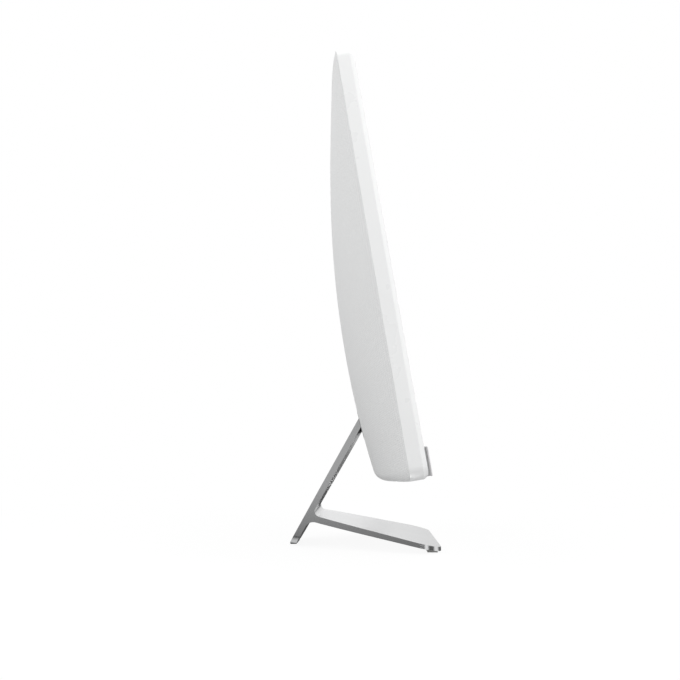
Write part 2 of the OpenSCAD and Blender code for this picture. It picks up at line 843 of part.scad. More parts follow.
module processor() {
    color("#3e6a4c")
        slab(cpu_x, at(board_w[1], [0, 1]), cpu_v);
    color("#6d7176")
        slab(cpu_x + [9, -9], at(board_w[1], [1, 1.6]), cpu_v + [12, -12]);
}

module heat_block() {
    color("#b87348")
        difference() {
            slab(cpu_x + [-5, 5], [board_w[1] + 1.6, pipe_w + 1.2], cpu_v + [-4, 4]);
            for (route = pipe_routes)
                routed(route, pipe_r);
        }
}

// The heat pipes run from the heat block, round the fan and through the fins
pipe_routes = [
    [[-88, pipe_w, 219], [14, pipe_w, 219], [26, pipe_w, 250], [26, pipe_w, 274], [30, pipe_w, 280],
        [103, pipe_w, 280]],
    [[-88, pipe_w, 231], [8, pipe_w, 231], [18, pipe_w, 256], [18, pipe_w, 280], [24, pipe_w, 286.5],
        [103, pipe_w, 286.5]]];

module heat_pipes() {
    color("#c07a4a")
        for (route = pipe_routes)
            routed(route, pipe_r);
}

module fin_stack() {
    color("#c4c6c8")
        difference() {
            union() {
                for (x = [fin_x[0] : fin_pitch : fin_x[1] - fin_t])
                    slab([x, x + fin_t], fin_w, fin_v);
                slab(fin_x, [fin_w[0], fin_w[0] + fin_t], fin_v);
            }
            for (route = pipe_routes)
                routed(route, pipe_r);
        }
}

module fan_housing() {
    wall = 1.5;
    color("#2c2d30")
        difference() {
            union() {
                rod_y(fan_x, fan_w, fan_v, fan_r);
                slab([fan_x - fan_r, fan_x + fan_r], fan_w, [fan_v, fin_v[0] - 0.5]);
            }
            rod_y(fan_x, [fan_w[0] + wall, fan_w[1] + EPS], fan_v, fan_r - wall);
            slab([fan_x - fan_r + wall, fan_x + fan_r - wall], [fan_w[0] + wall, fan_w[1] + EPS],
                [fan_v, fin_v[0] + EPS]);
        }
    color("#2c2d30")
        rod_y(fan_x, [fan_w[0] + wall, fan_w[1] - 3], fan_v, 2);
}

module fan_lid() {
    color("#3a3b3e")
        difference() {
            union() {
                rod_y(fan_x, [fan_w[1], fan_w[1] + 0.8], fan_v, fan_r);
                slab([fan_x - fan_r, fan_x + fan_r], [fan_w[1], fan_w[1] + 0.8], [fan_v, fin_v[0] - 0.5]);
            }
            rod_y(fan_x, [fan_w[1] - EPS, fan_w[1] + 2], fan_v, 22);
        }
}

module fan_impeller() {
    blades = 19;
    low = fan_w[0] + 2.3;
    high = fan_w[1] - 1.2;
    color("#1d1e20")
        difference() {
            union() {
                rod_y(fan_x, [low, high], fan_v, 12);
                rod_y(fan_x, [low, low + 0.8], fan_v, impeller_r);
                for (i = [0 : blades - 1])
                    translate([fan_x, 0, fan_v])
                        rotate([0, i * 360 / blades, 0])
                            translate([11, 0, 0])
                                rotate([0, 24, 0])
                                    slab([0, impeller_r - 12.5], [low, high - 1], [-0.6, 0.6]);
            }
            rod_y(fan_x, [low - EPS, high - 1.2], fan_v, 2 + running_gap);
        }
}

module memory_sockets() {
    color("#33353a")
        for (v = [154, 200])
            difference() {
                slab([-194, -120], at(board_w[1], [0, 4.6]), at(v, [-6, 0]));
                slab([-191, -123], at(board_w[1], [1.8, 3.2]), at(v, [-2, EPS]));
            }
}

module memory_modules() {
    color("#1f5c3a")
        for (v = [154, 200])
            slab([-190.8, -123.2], at(board_w[1], [1.9, 3.1]), at(v, [-2, 28]));
    color("#1b1c1f")
        for (v = [154, 200], x = [-184, -168, -152, -136])
            slab(at(x, [-5, 5]), at(board_w[1], [3.1, 4.1]), at(v, [6, 20]));
}

module solid_state_drive() {
    color("#1f5c3a")
        slab([-104, -26], at(board_w[1], [2, 2.8]), [257, 279]);
    color("#1b1c1f")
        for (x = [-90, -62, -40])
            slab(at(x, [-8, 8]), at(board_w[1], [2.8, 3.9]), [261, 275]);
    color("#33353a")
        slab([-109, -104], at(board_w[1], [0, 4]), [256, 280]);
}

module wireless_card() {
    color("#1f5c3a")
        slab([-198, -168], at(board_w[1], [2, 2.8]), [243, 265]);
    color("#c9cbcd")
        slab([-192, -174], at(board_w[1], [2.8, 4.2]), [246, 262]);
    color("#33353a")
        slab([-203, -198], at(board_w[1], [0, 4]), [242, 266]);
}

module antennas() {
    color("#c8a552")
        for (side = SIDES) {
            slab(side > 0 ? [205, 245] : [-245, -205], at(plate_w[1], [0, 0.8]), [314, 332]);
            slab(side > 0 ? [209, 241] : [-241, -209], at(plate_w[1], [0.8, 1]), [317, 329]);
        }
}

module coin_cell() {
    color("#33353a")
        rod_y(-32, at(board_w[1], [0, 1.5]), 176, 11.5);
    color("#d0d2d4")
        rod_y(-32, at(board_w[1], [1.5, 4.4]), 176, 10);
}

module board_components() {
    color("#1b1c1f") {
        slab([-100, -76], at(board_w[1], [0, 1.6]), [152, 176]);
        for (i = [0 : 4])
            slab(at(-104, [0, 7]), at(board_w[1], [0, 4]), at(206 + 9 * i, [0, 7]));
        for (i = [0 : 3])
            slab(at(-84 + 9 * i, [0, 7]), at(board_w[1], [0, 4]), [192, 199]);
    }
    color("#ebe7d8") {
        slab([-14, -8], at(board_w[1], [0, 2.4]), [152, 168]);
        slab([-16, -10], at(board_w[1], [0, 2.8]), [131, 136.4]);
        slab([-16, -10], at(board_w[1], [0, 2.8]), [137, 142.4]);
        slab([-30, -16], at(board_w[1], [0, 3]), [236, 242]);
    }
}

module hard_drive() {
    color("#b4b7ba")
        slab([122, 191.8], [13.2, 20.2], [124, 224]);
    color("#8f9296") {
        rod_y(152, [20.2, 20.7], 182, 26);
        slab([124, 189], [20.2, 20.6], [127, 146]);
    }
}

module drive_caddy() {
    x = [120.6, 193.2];
    color("#9a9da0")
        difference() {
            slab(x, [plate_w[1], 18], [122.6, 225.4]);
            slab(x + [1.2, -1.2], [13, 18 + EPS], [123.8, 224.2]);
            for (v = [142, 206])
                rod_x([x[0] - EPS, x[1] + EPS], 16, v, 1.5);
        }
}

// ---------------------------------------------------------------- sockets

// A metal-shelled socket that faces down into the port bay, with a tongue inside
module shell_socket(x, depth, wall, tongue) {
    v = [port_face_v, port_face_v + port_len];
    w = at(board_w[1], [0, depth]);
    difference() {
        slab(x, w, v);
        slab(x + [wall, -wall], w + [wall, -wall], [v[0] - EPS, v[1] - 1]);
    }
    slab(x + [wall + 1, -wall - 1], at(w[0], [depth / 2 - tongue, depth / 2 + tongue]), [v[0] + 1, v[1] - 0.5]);
}

module usb_ports() {
    color("#c9cbcd")
        for (x = usb_x)
            shell_socket(x, usb_h, 0.5, 0.9);
}

module hdmi_port() {
    color("#c9cbcd")
        shell_socket(hdmi_x, hdmi_h, 0.5, 0.6);
}

module lan_port() {
    v = [port_face_v, port_face_v + port_len + 2];
    w = at(board_w[1], [0, lan_h]);
    color("#c9cbcd")
        difference() {
            slab(lan_x, w, v);
            slab(lan_x + [2.1, -2.1], w + [2, -4], [v[0] - EPS, v[1] - 3]);
            slab(lan_x + [5, -5], w + [2, -1.6], [v[0] - EPS, v[1] - 5]);
        }
}

module dc_jack() {
    v = [port_face_v, port_face_v + port_len];
    w = at(board_w[1], [0, dc_h]);
    centre_x = (dc_x[0] + dc_x[1]) / 2;
    centre_w = (w[0] + w[1]) / 2;
    color("#222326")
        difference() {
            slab(dc_x, w, v);
            rod_z(centre_x, centre_w, [v[0] - EPS, v[1] - 4], 3.2);
        }
    color("#c9cbcd")
        rod_z(centre_x, centre_w, [v[0] + 1, v[1] - 4], 1);
}

module audio_jack() {
    color("#222326")
        difference() {
            union() {
                slab(at(audio_x, [-3.2, 3.2]), at(audio_w, [-3.2, 3.2]), at(frame_wall, [0.2, 13]));
                rod_z(audio_x, audio_w, [audio_mouth_v, frame_wall + 1], audio_nose_r);
            }
            rod_z(audio_x, audio_w, [audio_mouth_v - EPS, audio_mouth_v + audio_len], audio_r);
        }
}

// ---------------------------------------------------------------- power button and cables

module power_button() {
    color("#f2f2f2") {
        rod_z(button_x, button_w, [-0.3, frame_wall + 0.1], button_r);
        rod_z(button_x, button_w, at(frame_wall, [0.1, 1.1]), button_r + 0.8);
        rod_z(button_x, button_w, at(frame_wall, [1.1, 2.9]), 1.5);
    }
}

module button_board() {
    contact_v = frame_wall + 2.9 + button_travel + 0.05;
    color("#1b1c1f")
        slab(at(button_x, [-3, 3]), at(button_w, [-3, 3]), at(contact_v, [0, 3]));
    color("#1f5c3a")
        slab(at(button_x, [-10, 9]), at(button_w, [-4, 4]), at(contact_v, [3, 4]));
}

module display_cable() {
    v = [153, 167];
    color("#c9b98a") {
        slab([6, 20], [9.6, 10], [44, 60]);
        slab([6, 20], [9.6, 13], [59.6, 60]);
        slab([6, 20], [12.6, 13], [60, v[1]]);
        slab([-3, 6], [12.6, 13], v);
        slab([-3, -2.6], [12.6, 19], v);
        slab([-8, -2.6], [18.6, 19], v);
    }
}

module speaker_cables() {
    w = 14.4;
    r = 0.8;
    color("#26272a") {
        routed([[speaker_x, w, 24.6], [speaker_x, w, 38], [114, w, 38], [114, w, 116], [2, w, 116],
            [2, 19.6, 133.6], [-10, 19.6, 133.6]], r);
        routed([[-speaker_x, w, 24.6], [-speaker_x, w, 34], [-18, w, 34], [-18, w, 60], [-2, w, 108],
            [-2, 19.6, 139.6], [-10, 19.6, 139.6]], r);
    }
}

// ---------------------------------------------------------------- nodes

stand_frame();
front_foot_pads();
rear_foot_pad();
hinge_leaf();
leaf_screws();
hinge_shafts();
friction_washers();
hinge_nuts();
in_head() middle_frame();
in_head() screen_glass();
in_head() lcd_cell();
in_head() diffuser_sheets();
in_head() light_guide();
in_head() led_strip();
in_head() panel_tray();
in_head() panel_spacers();
in_head() timing_board();
in_head() sound_bar_housing();
in_head() sound_bar_grille();
in_head() speaker_box(-1);  // speaker_box_left
in_head() speaker_box(1);  // speaker_box_right
in_head() speaker_drivers();
in_head() webcam_board();
in_head() webcam_lens();
in_head() swapped() back_cover();
in_head() swapped() port_bay();
in_head() hinge_cavity();
in_head() swapped() chassis_plate();
in_head() chassis_screws();
in_head() hinge_brackets();
in_head() bracket_screws();
in_head() swapped() mainboard();
in_head() swapped() board_standoffs();
in_head() swapped() board_screws();
in_head() swapped() processor();
in_head() swapped() heat_block();
in_head() swapped() heat_pipes();
in_head() swapped() fin_stack();
in_head() swapped() fan_housing();
in_head() swapped() fan_lid();
in_head() swapped() fan_impeller();
in_head() swapped() memory_sockets();
in_head() swapped() memory_modules();
in_head() swapped() solid_state_drive();
in_head() swapped() wireless_card();
in_head() antennas();
in_head() swapped() coin_cell();
in_head() swapped() board_components();
in_head() swapped() hard_drive();
in_head() swapped() drive_caddy();
in_head() swapped() usb_ports();
in_head() swapped() hdmi_port();
in_head() swapped() lan_port();
in_head() swapped() dc_jack();
in_head() audio_jack();
in_head() power_button();
in_head() button_board();
in_head() swapped() display_cable();
in_head() swapped() speaker_cables();
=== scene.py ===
"""All-in-one computer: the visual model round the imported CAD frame."""
import json
import math

import bpy
import bmesh
from mathutils import Matrix, Vector


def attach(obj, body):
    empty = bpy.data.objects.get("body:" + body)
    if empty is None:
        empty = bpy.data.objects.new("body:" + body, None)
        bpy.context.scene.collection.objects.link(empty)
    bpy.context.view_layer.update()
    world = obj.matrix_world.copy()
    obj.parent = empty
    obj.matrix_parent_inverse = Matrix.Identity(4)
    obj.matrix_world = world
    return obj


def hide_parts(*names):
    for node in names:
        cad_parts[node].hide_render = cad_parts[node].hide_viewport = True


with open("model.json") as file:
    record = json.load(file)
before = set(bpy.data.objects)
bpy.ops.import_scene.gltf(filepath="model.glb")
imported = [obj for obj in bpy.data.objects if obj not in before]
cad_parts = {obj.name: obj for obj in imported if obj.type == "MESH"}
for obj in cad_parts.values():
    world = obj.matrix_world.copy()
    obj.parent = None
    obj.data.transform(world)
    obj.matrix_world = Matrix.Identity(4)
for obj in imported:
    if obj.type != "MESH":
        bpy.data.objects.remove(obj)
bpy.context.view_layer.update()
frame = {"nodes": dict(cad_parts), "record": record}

# Blender's points are in metres; the named sizes of the head and the stand are in millimetres
MM = 0.001

# ---------------------------------------------------------------- the head's own frame
# x is the width, w the depth behind the front face and v the height up the head's slope, all in millimetres.

HINGE = Vector(frame["record"]["behaviour"]["joints"][0]["pos_m"])
REST_TILT = 9
HINGE_W, HINGE_V = 36.0, 67.2
HEAD = (Matrix.Translation(HINGE) @ Matrix.Rotation(math.radians(-REST_TILT), 4, "X")
        @ Matrix.Translation((0, -HINGE_W * MM, -HINGE_V * MM)))

HEAD_W, HEAD_H, CORNER_R = 540.0, 347.0, 10.0
HALF_W, HALF_H = HEAD_W / 2, HEAD_H / 2
FRAME_D, FRAME_WALL = 13.9, 3.4
COVER_WALL = 2.2
COVER_BOTTOM_D, COVER_TOP_D, COVER_BULGE = 37.5, 21.4, 17.35
ROUND_BOTTOM, ROUND_TOP = 7.0, 3.0
BAR_HALF_W, BAR_LOW, BAR_HIGH, BAR_PROUD = 262.6, 1.5, 23.1, 3.0
CHIN_TOP = 28.4
PICTURE_HALF_W, PICTURE_LOW, PICTURE_HIGH = 263.5, 38.0, 334.5


def head(x, w, v):
    return HEAD @ Vector((x * MM, w * MM, v * MM))


def middle_depth(v):
    x = v / HEAD_H
    return COVER_BOTTOM_D + (COVER_TOP_D - COVER_BOTTOM_D) * x + 4 * COVER_BULGE * x * (1 - x)


def outline_half_w(v):
    d = max(CORNER_R - v, v - HEAD_H + CORNER_R, 0)
    return HALF_W - CORNER_R + math.sqrt(max(CORNER_R ** 2 - d * d, 0))


def missing(d, r):
    """How much of a rounding of radius r is missing at distance d from the edge."""
    return 0.0 if d >= r else 1 - math.sqrt(1 - (1 - max(d, 0) / r) ** 2)


def dome(x, v):
    """Depth of the back behind the white frame."""
    s = min(1.0, abs(x) / outline_half_w(v))
    full = (middle_depth(v) - FRAME_D) * (1 - s ** 6) ** 0.8
    full -= min(ROUND_BOTTOM, full / 2) * missing(v, ROUND_BOTTOM)
    full -= min(ROUND_TOP, full / 2) * missing(HEAD_H - v, ROUND_TOP)
    return full


# ---------------------------------------------------------------- mesh helpers

def new_object(name, verts, faces, sharp_deg=32):
    mesh = bpy.data.meshes.new(name)
    mesh.from_pydata([tuple(p) for p in verts], [], faces)
    work = bmesh.new()
    work.from_mesh(mesh)
    bmesh.ops.remove_doubles(work, verts=work.verts, dist=1e-7)
    bmesh.ops.recalc_face_normals(work, faces=work.faces)
    work.to_mesh(mesh)
    work.free()
    obj = bpy.data.objects.new(name, mesh)
    bpy.context.scene.collection.objects.link(obj)
    smooth(obj, sharp_deg)
    return obj


def smooth(obj, sharp_deg=32):
    mesh = obj.data
    mesh.polygons.foreach_set("use_smooth", [True] * len(mesh.polygons))
    mesh.set_sharp_from_angle(angle=math.radians(sharp_deg))
    mesh.update()


def bake_modifiers(obj, sharp_deg=32):
    """Turns the object's modifiers into its mesh."""
    graph = bpy.context.evaluated_depsgraph_get()
    graph.update()
    mesh = bpy.data.meshes.new_from_object(obj.evaluated_get(graph))
    mesh.name = obj.name
    obj.modifiers.clear()
    obj.data = mesh
    smooth(obj, sharp_deg)
    return obj


def cut(obj, cutters, operation="DIFFERENCE"):
    for cutter in cutters:
        mod = obj.modifiers.new("cut", "BOOLEAN")
        mod.operation = operation
        mod.solver = "EXACT"
        mod.object = cutter
    bake_modifiers(obj)
    for cutter in cutters:
        bpy.data.objects.remove(cutter, do_unlink=True)
    return obj


def bevel(obj, width_mm, segments=3, angle_deg=35):
    mod = obj.modifiers.new("edge", "BEVEL")
    mod.width = width_mm * MM
    mod.segments = segments
    mod.limit_method = "ANGLE"
    mod.angle_limit = math.radians(angle_deg)
    mod.harden_normals = False
    return obj


def flat_faces(obj):
    """Large faces keep their own normals, so that only the small roundings shade smoothly."""
    mod = obj.modifiers.new("normals", "WEIGHTED_NORMAL")
    mod.mode = "FACE_AREA_WITH_ANGLE"
    mod.weight = 80
    mod.keep_sharp = True
    return obj


def loft(name, rings, loop=False, sharp_deg=32):
    """A skin through rings of equal length; loop joins the last to the first, or else the ends are closed."""
    n = len(rings[0])
    verts = [p for ring in rings for p in ring]
    faces = []
    count = len(rings)
    for k in range(count if loop else count - 1):
        a, b = k * n, ((k + 1) % count) * n
        for i in range(n):
            j = (i + 1) % n
            faces.append((a + i, a + j, b + j, b + i))
    if not loop:
        faces.append(tuple(range(n)))
        faces.append(tuple((count - 1) * n + i for i in range(n)))
    return new_object(name, verts, faces, sharp_deg)


def prism(name, points, place, depth_a, depth_b):
    """A flat outline made solid between two depths; place(point, depth) gives a point in the row frame."""
    return loft(name, [[place(p, depth_a) for p in points], [place(p, depth_b) for p in points]])


def block(name, x, w, v, edge_mm=0.3, segments=2):
    """A bevelled slab in the head frame."""
    points = [(x[0], v[0]), (x[1], v[0]), (x[1], v[1]), (x[0], v[1])]
    obj = prism(name, points, lambda p, d: head(p[0], d, p[1]), w[0], w[1])
    if edge_mm:
        bevel(obj, edge_mm, segments)
        bake_modifiers(obj, 50)
        flat_faces(obj)
    return obj


def rounded_outline(half_w, low, high, r, corner=12, long_n=96, short_n=60):
    """A rounded rectangle as (x, v) points, anticlockwise from the lower right corner."""
    right = half_w - r
    points = []

    def arc(cx, cv, start):
        for i in range(corner + 1):
            a = math.radians(start + 90 * i / corner)
            points.append((cx + r * math.cos(a), cv + r * math.sin(a)))

    def side(a, b, n):
        for i in range(1, n):
            points.append((a[0] + (b[0] - a[0]) * i / n, a[1] + (b[1] - a[1]) * i / n))

    arc(right, low + r, 270)
    side((half_w, low + r), (half_w, high - r), short_n)
    arc(right, high - r, 0)
    side((right, high), (-right, high), long_n)
    arc(-right, high - r, 90)
    side((-half_w, high - r), (-half_w, low + r), short_n)
    arc(-right, low + r, 180)
    side((-right, low), (right, low), long_n)
    return points


def join(name, objs):
    """One object from several meshes, with no operator."""
    work = bmesh.new()
    for o in objs:
        work.from_mesh(o.data)
    mesh = bpy.data.meshes.new(name)
    work.to_mesh(mesh)
    work.free()
    obj = bpy.data.objects.new(name, mesh)
    bpy.context.scene.collection.objects.link(obj)
    for o in objs:
        bpy.data.objects.remove(o, do_unlink=True)
    smooth(obj)
    return obj


def turned(name, profile, centre, axis, steps=40):
    """A turned piece: profile is (radius, height) in mm, height running along axis."""
    axis = Vector(axis).normalized()
    side = axis.orthogonal().normalized()
    other = axis.cross(side)
    rings = []
    for r, h in profile:
        ring = []
        for i in range(steps):
            a = 2 * math.pi * i / steps
            out = side * math.cos(a) + other * math.sin(a)
            ring.append(centre + axis * h * MM + out * max(r, 0.001) * MM)
        rings.append(ring)
    return loft(name, rings)


# ---------------------------------------------------------------- materials

class Nodes:
    """A short way to write a node material."""

    def __init__(self, name):
        self.mat = bpy.data.materials.new(name)
        self.mat.use_nodes = True
        self.tree = self.mat.node_tree
        self.bsdf = self.tree.nodes["Principled BSDF"]
        self.coords = self.add("ShaderNodeTexCoord").outputs["Object"]

    def add(self, kind, **props):
        node = self.tree.nodes.new(kind)
        for key, value in props.items():
            setattr(node, key, value)
        return node

    def link(self, a, b):
        self.tree.links.new(a, b)

    def scaled(self, sx, sy, sz, rot=(0, 0, 0)):
        node = self.add("ShaderNodeMapping")
        node.inputs["Scale"].default_value = (sx, sy, sz)
        node.inputs["Rotation"].default_value = rot
        self.link(self.coords, node.inputs["Vector"])
        return node.outputs["Vector"]

    def noise(self, scale, detail=3.0, vector=None, rough=0.5):
        node = self.add("ShaderNodeTexNoise")
        node.inputs["Scale"].default_value = scale
        node.inputs["Detail"].default_value = detail
        node.inputs["Roughness"].default_value = rough
        self.link(vector or self.coords, node.inputs["Vector"])
        return node.outputs["Fac"]

    def math(self, op, a, b=None):
        node = self.add("ShaderNodeMath", operation=op)
        for socket, value in zip(node.inputs, (a, b)):
            if value is None:
                continue
            if isinstance(value, (int, float)):
                socket.default_value = value
            else:
                self.link(value, socket)
        return node.outputs[0]

    def span(self, value, low, high, a=0.0, b=1.0):
        node = self.add("ShaderNodeMapRange")
        for key, number in (("From Min", low), ("From Max", high), ("To Min", a), ("To Max", b)):
            node.inputs[key].default_value = number
        self.link(value, node.inputs["Value"])
        return node.outputs[0]

    def blend(self, fac, a, b):
        node = self.add("ShaderNodeMix", data_type="RGBA")
        for socket, value in ((node.inputs[6], a), (node.inputs[7], b)):
            if isinstance(value, tuple):
                socket.default_value = (*value, 1.0)
            else:
                self.link(value, socket)
        self.link(fac, node.inputs[0])
        return node.outputs[2]

    def bump(self, height, strength, distance_mm):
        node = self.add("ShaderNodeBump")
        node.inputs["Strength"].default_value = strength
        node.inputs["Distance"].default_value = distance_mm * MM
        self.link(height, node.inputs["Height"])
        return node.outputs["Normal"]

    def set(self, **values):
        names = {"colour": "Base Color", "rough": "Roughness", "metal": "Metallic", "coat": "Coat Weight",
                 "coat_rough": "Coat Roughness", "spec": "Specular IOR Level", "normal": "Normal"}
        for key, value in values.items():
            socket = self.bsdf.inputs[names[key]]
            if isinstance(value, tuple):
                socket.default_value = (*value, 1.0)
            elif isinstance(value, (int, float)):
                socket.default_value = value
            else:
                self.link(value, socket)
        return self.mat


def shade(colour, k):
    return tuple(min(1.0, c * k) for c in colour)


def plastic(name, colour, rough=0.42, grain_mm=0.35, grain=0.12, coat=0.0, tone=0.05, spec=0.5):
    """Moulded plastic: a fine spark-eroded grain, slight unevenness of tone and gloss."""
    m = Nodes(name)
    broad = m.noise(14.0, 2.0)
    fine = m.noise(1.0 / (grain_mm * MM), 2.0)
    base = m.blend(m.span(broad, 0.35, 0.65), shade(colour, 1 - tone), shade(colour, 1 + tone))
    roughness = m.span(m.noise(60.0, 3.0), 0.3, 0.7, rough - 0.04, rough + 0.04)
    return m.set(colour=base, rough=roughness, coat=coat, coat_rough=0.12, spec=spec,
                 normal=m.bump(fine, grain, 0.05))


def metal(name, colour, rough=0.3, brush=None, brush_depth=0.06, tone=0.06, spread=0.05):
    """Metal: brush is the scale of the brushing along x, y and z, or None for a blasted finish."""
    m = Nodes(name)
    if brush:
        streaks = m.noise(1.0, 4.0, m.scaled(*brush), 0.6)
    else:
        streaks = m.noise(2600.0, 2.0)
    broad = m.noise(18.0, 3.0)
    base = m.blend(m.span(streaks, 0.3, 0.7), shade(colour, 1 - tone), shade(colour, 1 + tone))
    roughness = m.math("ADD", m.span(streaks, 0.3, 0.7, rough - spread, rough + spread),
                       m.span(broad, 0.3, 0.7, -0.02, 0.02))
    return m.set(colour=base, metal=1.0, rough=roughness, normal=m.bump(streaks, brush_depth, 0.02))


def rubber(name, colour, rough=0.75):
    m = Nodes(name)
    fine = m.noise(2400.0, 3.0)
    base = m.blend(m.span(m.noise(90.0), 0.3, 0.7), shade(colour, 0.8), shade(colour, 1.25))
    return m.set(colour=base, rough=m.span(fine, 0.3, 0.7, rough - 0.06, rough + 0.06), spec=0.35,
                 normal=m.bump(fine, 0.25, 0.06))


def cover_material():
    """The back: white plastic moulded with a fine diagonal weave."""
    m = Nodes("cover_weave")
    pitch = 2.4 * MM
    k = 2 * math.pi / pitch
    split = m.add("ShaderNodeSeparateXYZ")
    wobble = m.add("ShaderNodeTexNoise")
    wobble.inputs["Scale"].default_value = 260.0
    m.link(m.coords, wobble.inputs["Vector"])
    m.link(m.coords, split.inputs[0])
    across = m.math("ADD", split.outputs["X"], m.math("MULTIPLY", wobble.outputs["Fac"], 0.6 * MM))
    up = m.math("ADD", split.outputs["Z"], m.math("MULTIPLY", split.outputs["Y"], 0.6))
    one = m.math("SINE", m.math("MULTIPLY", m.math("ADD", across, up), k * 0.71))
    two = m.math("SINE", m.math("MULTIPLY", m.math("SUBTRACT", across, up), k * 0.71))
    weave = m.math("MULTIPLY", one, two)
    fine = m.noise(1300.0, 2.0)
    height = m.math("ADD", m.math("MULTIPLY", weave, 0.12), fine)
    base = m.blend(m.span(height, 0.25, 0.85), COVER_LOW, COVER_HIGH)
    return m.set(colour=base, rough=0.62, spec=0.35, normal=m.bump(height, 0.5, 0.2))


def screen_material():
    """Glossy glass over a switched-off panel: the picture area is a touch lighter than its black border."""
    m = Nodes("screen_glass_black")
    split = m.add("ShaderNodeSeparateXYZ")
    m.link(m.coords, split.inputs[0])
    low, high = head(0, 0, PICTURE_LOW), head(0, 0, PICTURE_HIGH)
    inside_x = m.math("LESS_THAN", m.math("ABSOLUTE", split.outputs["X"]), PICTURE_HALF_W * MM)
    above = m.math("GREATER_THAN", split.outputs["Z"], low.z)
    below = m.math("LESS_THAN", split.outputs["Z"], high.z)
    area = m.math("MULTIPLY", m.math("MULTIPLY", inside_x, above), below)
    haze = m.span(m.noise(9.0, 2.0), 0.3, 0.7, 0.0, 0.25)
    lit = m.blend(haze, (0.010, 0.011, 0.013), (0.014, 0.015, 0.018))
    base = m.blend(area, (0.0035, 0.0035, 0.004), lit)
    rough = m.span(m.noise(25.0), 0.3, 0.7, 0.055, 0.075)
    return m.set(colour=base, rough=rough, spec=0.45, coat=0.15, coat_rough=0.03)


def cloth_metal(name, colour):
    """Fine metal cloth over the sound bar: round holes on a staggered pitch, not cut but painted dark as
    painted shade.
    """
    m = Nodes(name)
    pitch = 1.1 * MM
    cells = m.add("ShaderNodeTexVoronoi", feature="F1", distance="EUCLIDEAN")
    cells.inputs["Scale"].default_value = 1.0 / pitch
    cells.inputs["Randomness"].default_value = 0.0
    m.link(m.scaled(1, 0, 1, (0, math.radians(45), 0)), cells.inputs["Vector"])
    split = m.add("ShaderNodeSeparateXYZ")
    m.link(m.coords, split.inputs[0])
    rim = m.span(m.math("ABSOLUTE", split.outputs["X"]), (BAR_HALF_W - 3) * MM, (BAR_HALF_W - 2) * MM)
    hole = m.math("MAXIMUM", m.span(cells.outputs["Distance"], 0.22, 0.36), rim)
    # the holes are painted dark: painted shade standing in for the shaded housing seen through openings that
    # are not cut
    base = m.blend(hole, shade(colour, 0.22), colour)
    return m.set(colour=base, metal=0.5, rough=0.38, normal=m.bump(hole, 0.5, 0.12))


def board_material(name, colour):
    """Solder mask with faint tracks under it."""
    m = Nodes(name)
    tracks = m.add("ShaderNodeTexWave", wave_type="BANDS", bands_direction="DIAGONAL")
    tracks.inputs["Scale"].default_value = 320.0
    tracks.inputs["Distortion"].default_value = 3.0
    m.link(m.coords, tracks.inputs["Vector"])
    mask = m.math("GREATER_THAN", m.noise(55.0, 1.0), 0.52)
    line = m.math("MULTIPLY", m.math("GREATER_THAN", tracks.outputs["Fac"], 0.7), mask)
    base = m.blend(line, colour, shade(colour, 1.7))
    return m.set(colour=base, rough=0.35, coat=0.3, coat_rough=0.2, normal=m.bump(line, 0.2, 0.05))


def lens_material():
    m = Nodes("lens_glass")
    ripple = m.noise(900.0, 1.0)
    base = m.blend(ripple, (0.01, 0.012, 0.02), (0.025, 0.02, 0.04))
    return m.set(colour=base, rough=0.05, coat=1.0, coat_rough=0.02)


RIM_WHITE = (0.815, 0.82, 0.82)
COVER_LOW = (0.655, 0.66, 0.66)
COVER_HIGH = (0.845, 0.85, 0.85)
ALUMINIUM = (0.74, 0.745, 0.75)

MAT = {
    "cover": cover_material(),
    "rim": plastic("rim_white", RIM_WHITE, rough=0.3, grain_mm=0.5, grain=0.03, coat=0.5, tone=0.01),
    "screen": screen_material(),
    "lens": lens_material(),
    "stand": metal("stand_satin_aluminium", ALUMINIUM, rough=0.2, brush_depth=0.008, tone=0.01, spread=0.02),
    "bar_cloth": cloth_metal("sound_bar_cloth", (0.76, 0.76, 0.765)),
    "bar_body": plastic("sound_bar_grey", (0.40, 0.40, 0.405), rough=0.45),
    "pad": rubber("pad_rubber", (0.055, 0.055, 0.06)),
    "pale_pad": rubber("pale_pad_rubber", (0.42, 0.42, 0.41)),
    "dark": plastic("dark_plastic", (0.025, 0.025, 0.027), rough=0.5),
    "black": plastic("slot_black", (0.012, 0.012, 0.013), rough=0.55),
    "steel": metal("hinge_steel", (0.45, 0.46, 0.48), rough=0.35, brush=(40.0, 2600.0, 2600.0)),
    "zinc": metal("zinc_steel", (0.6, 0.61, 0.63), rough=0.4),
    "socket": metal("socket_shell", (0.75, 0.76, 0.78), rough=0.2, tone=0.03),
    "screw": metal("black_screw", (0.06, 0.06, 0.065), rough=0.35),
    "bronze": metal("spring_bronze", (0.6, 0.45, 0.22), rough=0.35),
    "brass": metal("brass", (0.75, 0.58, 0.25), rough=0.25),
    "copper": metal("copper", (0.72, 0.36, 0.2), rough=0.28),
    "fins": metal("fin_aluminium", (0.8, 0.8, 0.82), rough=0.3),
    "board": board_material("solder_mask", (0.02, 0.11, 0.05)),
    "chip": plastic("chip_package", (0.05, 0.12, 0.07), rough=0.4),
    "milky": plastic("diffuser_film", (0.85, 0.85, 0.83), rough=0.6),
    "acrylic": plastic("light_guide", (0.7, 0.76, 0.78), rough=0.15),
    "led": plastic("led_board", (0.8, 0.72, 0.42), rough=0.5),
    "foam": rubber("grey_foam", (0.08, 0.08, 0.085), rough=0.9),
    "cone": rubber("speaker_cone", (0.04, 0.04, 0.042), rough=0.6),
    "film": plastic("cable_film", (0.62, 0.47, 0.2), rough=0.35),
    "wire": rubber("cable_black", (0.015, 0.015, 0.017), rough=0.5),
}

